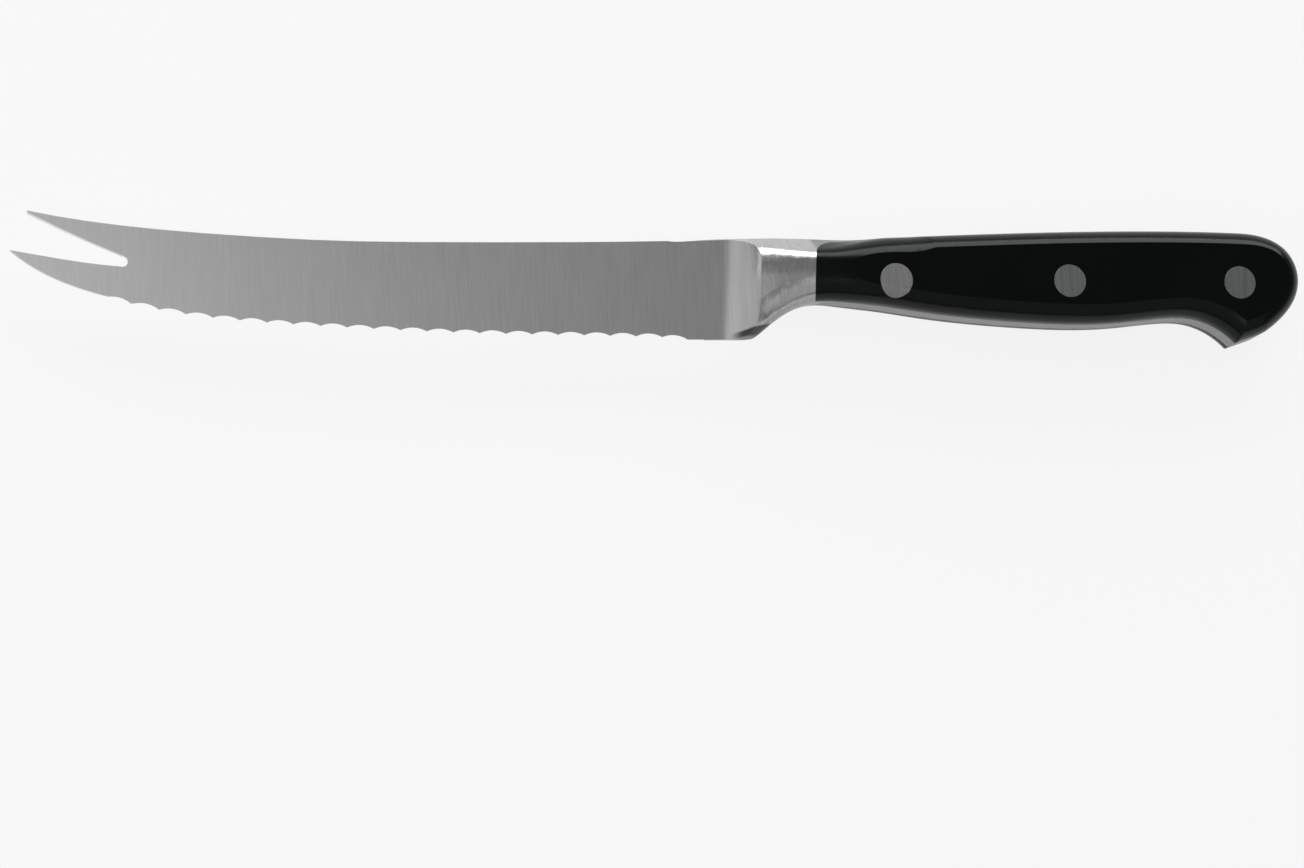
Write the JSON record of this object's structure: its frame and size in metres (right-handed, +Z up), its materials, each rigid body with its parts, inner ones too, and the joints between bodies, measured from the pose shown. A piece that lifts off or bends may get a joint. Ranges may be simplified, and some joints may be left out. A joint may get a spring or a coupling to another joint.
{
  "type": "tomato knife",
  "caption": "Fork-tipped serrated tomato knife: forged steel blade, bolster and full tang in one piece, with two black grip scales held by flush two-part rivets.",
  "frame": {"origin": "centre of the knife's bounding rectangle in plan, at the height of the flat right-hand side it lies on", "axes": "+X from the forked tip towards the butt, +Y from the cutting edge towards the spine, +Z up through the thickness, out of the left-hand side"},
  "size_m": [0.2514, 0.0274, 0.014],
  "materials": {
    "blade_steel": "fine satin grind across the blade, brighter polished bolster facet",
    "grip": "smooth black moulded plastic with a soft satin sheen",
    "rivet_steel": "ground flush with fine straight scratches"
  },
  "bodies": {
    "root": {"blade": "blade_steel", "left_scale": "grip", "right_scale": "grip", "front_rivet_barrel": "rivet_steel", "front_rivet_pin": "rivet_steel", "middle_rivet_barrel": "rivet_steel", "middle_rivet_pin": "rivet_steel", "rear_rivet_barrel": "rivet_steel", "rear_rivet_pin": "rivet_steel"}
  },
  "joints": []
}
